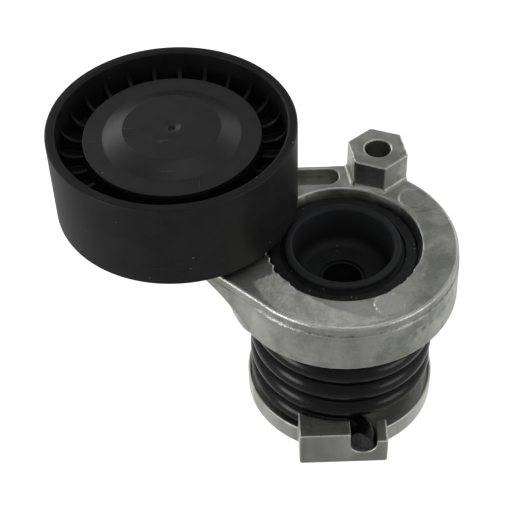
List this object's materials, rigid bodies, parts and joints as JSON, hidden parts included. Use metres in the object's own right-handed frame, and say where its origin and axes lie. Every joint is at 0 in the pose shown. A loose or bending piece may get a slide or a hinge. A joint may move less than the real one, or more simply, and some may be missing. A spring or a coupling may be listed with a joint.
{
  "type": "belt tensioner",
  "caption": "Spring-loaded belt tensioner: a cast arm turns on a round base with an exposed torsion spring and carries a smooth idler pulley under a domed cap.",
  "frame": {"origin": "centre of the base's mounting face, on the pivot axis", "axes": "+Z along the pivot axis from the mounting face to the pulley side; -Y through the middle of the base's anti-rotation tab; at rest the pulley lies towards -X and slightly +Y"},
  "size_m": [0.107, 0.0806, 0.084],
  "materials": {
    "cast_aluminium": "as-cast, satin, faint mottling",
    "plain_steel": "satin",
    "phosphated_steel": "dark phosphate coat, matte",
    "zinc_steel": "zinc plated, satin",
    "bearing_steel": "ground",
    "black_coated_steel": "thin black coat, satin",
    "spring_lacquer": "black lacquer, semi-gloss",
    "friction_plastic": "matte",
    "bush_polymer": "matte",
    "cage_polymer": "satin",
    "seal_rubber": "matte",
    "pulley_plastic": "moulded, low sheen",
    "cap_plastic": "moulded, satin"
  },
  "bodies": {
    "base": {"base_housing": "cast_aluminium", "pivot_post": "plain_steel", "bolt_sleeve": "phosphated_steel", "retaining_cup": "black_coated_steel", "torsion_spring": "spring_lacquer"},
    "arm": {"arm_casting": "cast_aluminium", "pivot_tube": "plain_steel", "pivot_bush_lower": "bush_polymer", "pivot_bush_upper": "bush_polymer", "thrust_ring": "friction_plastic", "bearing_spacer": "plain_steel", "rear_dust_shield": "plain_steel", "pulley_bolt": "zinc_steel", "bolt_washer": "zinc_steel", "bearing_inner_ring": "bearing_steel"},
    "pulley": {"pulley": "pulley_plastic", "dust_cap": "cap_plastic", "bearing_outer_ring": "bearing_steel", "bearing_seal_top": "seal_rubber", "bearing_seal_bottom": "seal_rubber"},
    "ball_cage": {"bearing_balls": "bearing_steel", "bearing_cage": "cage_polymer"}
  },
  "joints": [
    {"name": "arm_pivot", "type": "hinge", "parent": "base", "child": "arm", "pos_m": [0, 0, 0.028], "axis": [0, 0, -1], "range_deg": [0, 50], "stiffness_Nm_per_rad": 25, "deforming": ["torsion_spring"]},
    {"name": "pulley_spin", "type": "hinge", "parent": "arm", "child": "pulley", "pos_m": [-0.04364, 0.01719, 0.0685], "axis": [0, 0, 1], "continuous": true},
    {"name": "cage_spin", "type": "hinge", "parent": "arm", "child": "ball_cage", "pos_m": [-0.04364, 0.01719, 0.0685], "axis": [0, 0, 1], "continuous": true}
  ],
  "couplings": [
    {"joint": "cage_spin", "follows": "pulley_spin", "ratio": 0.61837}
  ]
}
